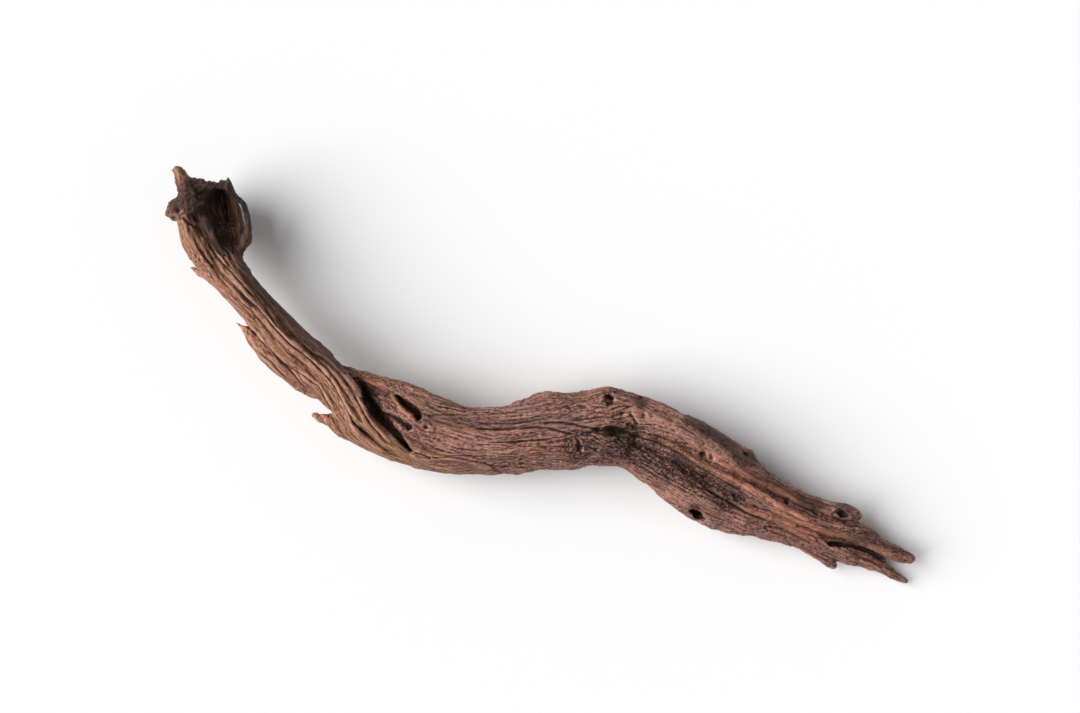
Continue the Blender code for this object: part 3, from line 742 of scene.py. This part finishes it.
def shelter(mesh, points, normals):
    """The share of a point's outward rays that meet the wood again within reach."""
    tree = BVHTree.FromPolygons(
        points.tolist(), [tuple(face.vertices) for face in mesh.polygons])
    helper = np.where(np.abs(normals[:, 2:]) < 0.8, (0.0, 0.0, 1.0), (1.0, 0.0, 0.0))
    across = np.cross(normals, helper)
    across /= np.linalg.norm(across, axis=1)[:, None]
    other = np.cross(normals, across)
    starts = (points + normals * RAY_START).tolist()
    met = np.zeros(len(points))
    for k in range(RAYS):
        turn = math.tau * k / (RAYS - 1)
        lean = 0.0 if k == RAYS - 1 else RAY_LEAN
        aim = normals + lean * (math.cos(turn) * across + math.sin(turn) * other)
        aim /= np.linalg.norm(aim, axis=1)[:, None]
        for i, (start, way) in enumerate(zip(starts, aim.tolist())):
            distance = tree.ray_cast(start, way, RAY_REACH)[3]
            if distance is not None:
                met[i] += 1 - FAR_LOSS * distance / RAY_REACH
    return met / RAYS


normals = normals_of(wood.data)
fine_proud = stands_proud(carved, normals, 3)
broad_proud = stands_proud(carved, normals, 24)
painted_shade_occlusion = near.blurred(shelter(wood.data, carved, normals), 2)
print("proud: fine %.2f, broad %.2f; shelter %.2f; after %.0f s" % (
    np.abs(fine_proud).mean(), np.abs(broad_proud).mean(), painted_shade_occlusion.mean(),
    time.time() - STARTED))

# %% [markdown]
# ## Numbers for the material
#
# A material can't run Python, but it can read numbers that are kept on the mesh as attributes,
# one for each point. Here all that the colour needs is put there. The bleached wood of the arm
# goes over into the belly raggedly, so a little noise decides where it ends.

# %% Keep the numbers on the mesh
def keep(name, values):
    """Stores one number, or one vector, for each point of the skin."""
    vector = values.ndim == 2
    layer = wood.data.attributes.new(name, "FLOAT_VECTOR" if vector else "FLOAT", "POINT")
    numbers = np.ascontiguousarray(values, float).ravel()
    layer.data.foreach_set("vector" if vector else "value", numbers)


bleached_arm *= 1 - smooth_step(28, 41, shares[:, 0] + 5 * lumps)
fold_part = patch([(27, 50, 64, 12), (31, 48.5, 67, 12), (34.5, 45.6, 70, 10)])
tan_part = np.clip(0.8 * bleached_arm + fold_part + 0.8 * golden_part * high_up, 0, 1)
keep("grain", flow)
keep("fine_proud", fine_proud)
keep("broad_proud", broad_proud)
# ray-cast occlusion, which the colour uses as painted shade
keep("shelter", painted_shade_occlusion)
keep("tan_part", tan_part)
keep("crazed_part", np.clip(1 - bleached_arm, 0, 1))
keep("scoop_part", scoop_part)
keep("burr_part", burr_part)
keep("crease_depth", crease_depth)
keep("heart_part", heart_part)
keep("dusk_part", dusk_part * (0.35 + 0.65 * high_up))
keep("band_part", band_part)
keep("pale_part", pale_part * high_up)
keep("crackle_part", near.blurred(crackle_part, 6))
keep("pits", pits)
keep("cracks", np.clip(craze_amount * (0.8 * craze_cracks + 0.6 * wide_cracks) + long_checks, 0, 1))
wood.data.shade_smooth()
print("kept on the mesh:", [layer.name for layer in wood.data.attributes if layer.domain == "POINT"])

# %% [markdown]
# ## Writing shader sums as Python
#
# A wood material is mostly sums: this streak times that mask, plus a little of the other. Nodes
# for that are tedious to place one by one. The class below wraps one socket, so that plain
# Python operators add the Math nodes, and one method adds any other node.

# %% A socket that can do sums
class Wire:
    """One socket in a material's node tree."""

    def __init__(self, tree, socket=None):
        self.tree = tree
        self.socket = socket

    def node(self, kind, settings=None, sockets=None, output=0):
        """Adds a node: its settings first, then the values or links of its sockets."""
        made = self.tree.nodes.new(kind)
        for name, value in (settings or {}).items():
            if name == "stops":
                ramp = made.color_ramp
                while len(ramp.elements) < len(value):
                    ramp.elements.new(1.0)
                for stop, (place, colour) in zip(ramp.elements, value):
                    stop.position = place
                    stop.color = colour
            else:
                setattr(made, name, value)
        for name, value in (sockets or {}).items():
            if isinstance(value, Wire):
                self.tree.links.new(value.socket, made.inputs[name])
            else:
                made.inputs[name].default_value = value
        return Wire(self.tree, made.outputs[output])

    def sum(self, operation, *values):
        return self.node("ShaderNodeMath", {"operation": operation}, dict(enumerate(values)))

    def __add__(self, other):
        return self.sum("ADD", self, other)

    def __radd__(self, other):
        return self.sum("ADD", other, self)

    def __sub__(self, other):
        return self.sum("SUBTRACT", self, other)

    def __rsub__(self, other):
        return self.sum("SUBTRACT", other, self)

    def __mul__(self, other):
        return self.sum("MULTIPLY", self, other)

    def __rmul__(self, other):
        return self.sum("MULTIPLY", other, self)

    def between(self, low, high):
        """0 below `low`, 1 above `high`, and smooth from one to the other."""
        settings = {"interpolation_type": "SMOOTHSTEP"}
        sockets = {0: self, 1: low, 2: high, 3: 0.0, 4: 1.0}
        return self.node("ShaderNodeMapRange", settings, sockets)

    def stored(self, name, vector=False):
        """An attribute that is kept on the mesh."""
        kind = "Vector" if vector else "Fac"
        return self.node("ShaderNodeAttribute", {"attribute_name": name}, output=kind)

    def scaled(self, size):
        """This place divided by a size in mm for each direction."""
        factor = tuple(1 / (side * MM) for side in size)
        return self.node("ShaderNodeVectorMath", {"operation": "MULTIPLY"}, {0: self, 1: factor})

    def noise(self, size, detail=2.0, roughness=0.5):
        """Noise from 0 to 1 whose features are about `size` mm."""
        sockets = {"Vector": self.scaled(size), "Scale": 1.0, "Detail": detail,
                   "Roughness": roughness}
        return self.node("ShaderNodeTexNoise", {}, sockets)

    def cells(self, size):
        """Distance to the nearest border of a cell pattern."""
        sockets = {"Vector": self.scaled(size), "Scale": 1.0}
        return self.node("ShaderNodeTexVoronoi", {"feature": "DISTANCE_TO_EDGE"}, sockets)

    def creases(self, size, width):
        """Thin lines, 1 in the middle, where smooth noise of this size crosses its middle value."""
        away = self.noise(size, detail=0.0) - 0.5
        return 1 - away.sum("ABSOLUTE", away).between(0.0, width)

    def towards(self, colour, amount):
        """This colour mixed with another by an amount from 0 to 1."""
        settings = {"data_type": "RGBA", "blend_type": "MIX", "clamp_factor": True}
        return self.node("ShaderNodeMix", settings, {0: amount, 6: self, 7: colour}, output=2)


def srgb(red, green, blue):
    """A colour as seen on a screen, 0 to 255, turned into the linear one that a shader needs."""
    parts = [value / 255 for value in (red, green, blue)]
    linear = [p / 12.92 if p < 0.04045 else ((p + 0.055) / 1.055) ** 2.4 for p in parts]
    return (*linear, 1.0)


print("a middle grey, as a shader needs it:", [round(part, 3) for part in srgb(128, 128, 128)])

# %% [markdown]
# ## The finish of weathered wood
#
# Close up, the wood is a warm red-brown that changes from fibre to fibre. The arm and the hem are
# bleached to a golden tan, and the belly and the lobes have a grey-purple bloom in patches. Dirt
# sits in the cracks. Painted shade darkens the hollows, creases, dents and the burl's scoop, with
# some dirt there too, and a painted highlight makes the crests paler, which are also worn a little
# smoother. The colour starts from streaks along the grain and is then tinted, dirtied, shaded and
# bleached in turn by the numbers kept on the mesh. Fibres too fine for the mesh go into the bump.

# %% Weathered wood
# the darkest tone: real cracks, and painted shade in the hollows, creases and the burl's scoop
CRACK_AND_SHADE_DARK = srgb(22, 14, 10)
DARK_WOOD = srgb(56, 32, 24)
# dusky wood, and painted shade on the arm's flank, in the fold and on the tail's upper edges
DUSK_AND_SHADE = srgb(58, 36, 29)
CRACKLE = srgb(96, 72, 70)
MID_WOOD = srgb(148, 93, 73)
PALE_WOOD = srgb(224, 164, 142)
GOLD_WOOD = srgb(147, 104, 68)
PALE_GOLD = srgb(210, 163, 114)
BLOOM = srgb(142, 108, 104)
HEARTWOOD = srgb(228, 148, 118)


def weathered_wood():
    material = bpy.data.materials.new("weathered_wood")
    material.use_nodes = True
    tree = material.node_tree
    shader = tree.nodes["Principled BSDF"]
    new = Wire(tree)

    grain_place = new.stored("grain", vector=True)
    place = new.node("ShaderNodeTexCoord", output="Object")
    tan = new.stored("tan_part")
    crazed = new.stored("crazed_part")
    scoop = new.stored("scoop_part")
    shade = new.stored("shelter")
    fine = new.stored("fine_proud")
    broad = new.stored("broad_proud")
    crack = new.stored("cracks")
    crease = new.stored("crease_depth")
    heart = new.stored("heart_part")
    pit = new.stored("pits")
    burr = new.stored("burr_part")
    dusk_and_shade = new.stored("dusk_part")
    band = new.stored("band_part")
    pale = new.stored("pale_part")
    crackle = new.stored("crackle_part")

    streaks = grain_place.noise((16, 0.9, 0.9), detail=3.0, roughness=0.62)
    wide_streaks = grain_place.noise((60, 4.5, 4.5), detail=2.0)
    specks = place.noise((1.1, 1.1, 1.1), detail=2.0, roughness=0.65)
    patches = place.noise((26, 26, 26), detail=2.0)
    pores = grain_place.cells((1.7, 0.75, 0.75))

    hair_lines = grain_place.creases((26, 1.5, 1.5), 0.035)
    fibre_lines = grain_place.creases((42, 3.2, 3.2), 0.03)
    crackle_cells = grain_place.cells((2.8, 1.7, 1.7))
    breaks = place.noise((7, 7, 7), detail=1.0).between(0.4, 0.6)

    tone = 0.62 * streaks + 0.38 * specks
    red = new.node("ShaderNodeValToRGB", {"stops": [
        (0.30, DARK_WOOD), (0.48, MID_WOOD), (0.70, PALE_WOOD)]}, {0: tone})
    gold = new.node("ShaderNodeValToRGB", {"stops": [
        (0.30, DARK_WOOD), (0.46, GOLD_WOOD), (0.70, PALE_GOLD)]}, {0: tone})
    gold_amount = tan * (0.4 + 0.6 * wide_streaks.between(0.36, 0.6))
    colour = red.towards(MID_WOOD, 0.15).towards(gold, gold_amount)
    bloom_amount = crazed * (0.15 + 0.5 * patches.between(0.42, 0.6))
    colour = colour.towards(BLOOM, bloom_amount)
    colour = colour.towards(CRACKLE, crackle * 0.6)
    # painted highlight on the crests, with some real wear
    colour = colour.towards(PALE_WOOD, fine.between(0.01, 0.14) * (0.35 + 0.5 * specks))
    colour = colour.towards(PALE_WOOD, pale * (0.4 + 0.4 * streaks))
    colour = colour.towards(BLOOM, band * 0.6)
    # darker wood at the burl and the splintered ends, and painted shade on the arm's flank, in the
    # fold and on the tail's upper edges
    colour = colour.towards(DUSK_AND_SHADE, dusk_and_shade * (0.5 + 0.6 * specks))
    # painted shade in the fine hollows, with some dirt
    colour = colour.towards(DARK_WOOD, 0.8 * (0 - fine).between(0.0, 0.15))
    # painted shade in the broad hollows
    colour = colour.towards(DARK_WOOD, 0.7 * (0 - broad).between(0.1, 1.0))
    colour = colour.towards(HEARTWOOD, heart * (0.3 + 0.5 * streaks))
    colour = colour.towards(DARK_WOOD, hair_lines * (0.35 + 0.35 * breaks))
    colour = colour.towards(DARK_WOOD, fibre_lines * (0.35 + 0.35 * breaks))
    colour = colour.towards(DARK_WOOD, (1 - pores.between(0.02, 0.16)) * crazed * 0.45)
    colour = colour.towards(CRACK_AND_SHADE_DARK, (1 - crackle_cells.between(0.02, 0.16)) * crackle * 0.75)
    colour = colour.towards(DARK_WOOD, pit * 0.25)
    colour = colour.towards(DARK_WOOD, burr * 0.5)
    # painted shade from the ray-cast occlusion
    colour = colour.towards(CRACK_AND_SHADE_DARK, shade.between(0.3, 0.85) * 0.65)
    colour = colour.towards(CRACK_AND_SHADE_DARK, crack * 0.5)
    # painted shade in the creases and dents
    colour = colour.towards(CRACK_AND_SHADE_DARK, crease.between(0.6, 2.0) * 0.8)
    # painted shade in the burl's scoop, with some dirt
    colour = colour.towards(CRACK_AND_SHADE_DARK, scoop * (1.1 - 0.7 * streaks))

    rough = 0.52 + 0.2 * streaks + 0.3 * shade - 0.14 * fine.between(0.0, 0.2)
    relief = 0.55 * streaks + 0.3 * specks + 0.35 * pores.between(0.0, 0.25) - 0.35 * hair_lines
    bump = new.node("ShaderNodeBump", {}, {
        "Strength": 1.0, "Distance": 0.7 * MM, "Height": relief})
    tree.links.new(colour.socket, shader.inputs["Base Color"])
    tree.links.new(rough.socket, shader.inputs["Roughness"])
    tree.links.new(bump.socket, shader.inputs["Normal"])
    shader.inputs["Specular IOR Level"].default_value = 0.35
    print("weathered wood:", len(tree.nodes), "nodes")
    return material


wood.data.materials.clear()
wood.data.materials.append(weathered_wood())
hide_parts("driftwood")
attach(wood, "root")

# %% [markdown]
# ## The floor
#
# The piece lies on a plain white surface. One large face is enough, and it is matt, so that the
# shadow stays clean.

# %% Floor
FLOOR_HALF = 12.0
FLOOR_COLOUR = (0.9, 0.9, 0.9, 1.0)

floor_mesh = bpy.data.meshes.new("floor")
corners = [(-FLOOR_HALF, -FLOOR_HALF, 0), (FLOOR_HALF, -FLOOR_HALF, 0),
           (FLOOR_HALF, FLOOR_HALF, 0), (-FLOOR_HALF, FLOOR_HALF, 0)]
floor_mesh.from_pydata(corners, [], [(0, 1, 2, 3)])
floor = bpy.data.objects.new("floor", floor_mesh)
bpy.context.scene.collection.objects.link(floor)
floor_paint = bpy.data.materials.new("floor_paint")
floor_paint.use_nodes = True
paint = floor_paint.node_tree.nodes["Principled BSDF"]
paint.inputs["Base Color"].default_value = FLOOR_COLOUR
paint.inputs["Roughness"].default_value = 0.9
paint.inputs["Specular IOR Level"].default_value = 0.1
floor_mesh.materials.append(floor_paint)
floor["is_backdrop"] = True
print("floor: %.0f m across" % (2 * FLOOR_HALF))

# %% [markdown]
# ## The light
#
# One broad soft light shines from the left, low enough to rake across the relief and throw a soft
# shadow to the right. A sun lamp with a wide angle does this: the floor is lit evenly, however
# large it is, and the shadow's edge gets softer with height, as under a big studio window. An
# area lamp near the piece would leave the far side of the floor darker. The sky is pale all
# round and darker overhead, so that it fills the shadows gently and low views still end in a
# pale horizon.

# %% Light
KEY_ELEVATION = math.radians(40)
KEY_TURN = math.radians(176)  # the way to the light in plan, from +X towards +Y
KEY_SPREAD = math.radians(54)  # how wide the light looks from the piece: wider is softer
KEY_STRENGTH = 4.05
SKY_LOW = (0.92, 0.92, 0.92, 1.0)
SKY_HIGH = (0.27, 0.27, 0.275, 1.0)
HORIZON = (0.03, 0.18)  # the sky darkens between these heights, where 1 is straight up

key_data = bpy.data.lights.new("key_light", "SUN")
key_data.angle = KEY_SPREAD
key_data.energy = KEY_STRENGTH
key = bpy.data.objects.new("key_light", key_data)
bpy.context.scene.collection.objects.link(key)
to_light = Vector((
    math.cos(KEY_TURN) * math.cos(KEY_ELEVATION),
    math.sin(KEY_TURN) * math.cos(KEY_ELEVATION),
    math.sin(KEY_ELEVATION),
))
key.rotation_euler = (-to_light).to_track_quat("-Z", "Y").to_euler()

sky = bpy.data.worlds.new("studio")
bpy.context.scene.world = sky
sky.use_nodes = True
overhead = Wire(sky.node_tree)
direction = overhead.node("ShaderNodeTexCoord", output="Generated")
upward = overhead.node("ShaderNodeSeparateXYZ", {}, {0: direction}, output="Z")
low_sky = overhead.node("ShaderNodeRGB")
low_sky.socket.default_value = SKY_LOW
sky_colour = low_sky.towards(SKY_HIGH, upward.between(*HORIZON))
background = sky.node_tree.nodes["Background"]
sky.node_tree.links.new(sky_colour.socket, background.inputs["Color"])
print("key light: %.0f degrees up, %.0f degrees wide" % (
    math.degrees(KEY_ELEVATION), math.degrees(KEY_SPREAD)))

# %% [markdown]
# ## The camera
#
# The piece is seen from straight above, so the camera keeps its first direction and only needs
# a place. It stands well back with a long lens, which keeps the high burl from looking too large.

# %% Camera
CAMERA_PLACE = (49.4, 55.2)  # hundredths of the box, in plan
CAMERA_HEIGHT = 1.815
LENS = 85
SENSOR_WIDTH = 36

camera_data = bpy.data.cameras.new("camera")
camera_data.lens = LENS
camera_data.sensor_width = SENSOR_WIDTH
camera = bpy.data.objects.new("camera", camera_data)
bpy.context.scene.collection.objects.link(camera)
camera.location = (*at((*CAMERA_PLACE, 0))[:2], CAMERA_HEIGHT)
bpy.context.scene.camera = camera
bpy.context.scene.view_settings.view_transform = "Standard"
print("camera at", [round(value, 4) for value in camera.location])

# %% [markdown]
# ## Sizes
#
# Both boxes are worked out, and how far the carving moved the box is printed. The visual
# model has to keep to the imported model's size.

# %% Work out both boxes and finish
sizes = {"cad": [list(corner) for corner in CAD_BOX],
         "visual": [list(corner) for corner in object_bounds()]}
grown = np.array(sizes["visual"]) - np.array(sizes["cad"])
print("the carving moved the box by, mm:", (grown / MM).round(1).tolist())
print("made in %.0f s" % (time.time() - STARTED))
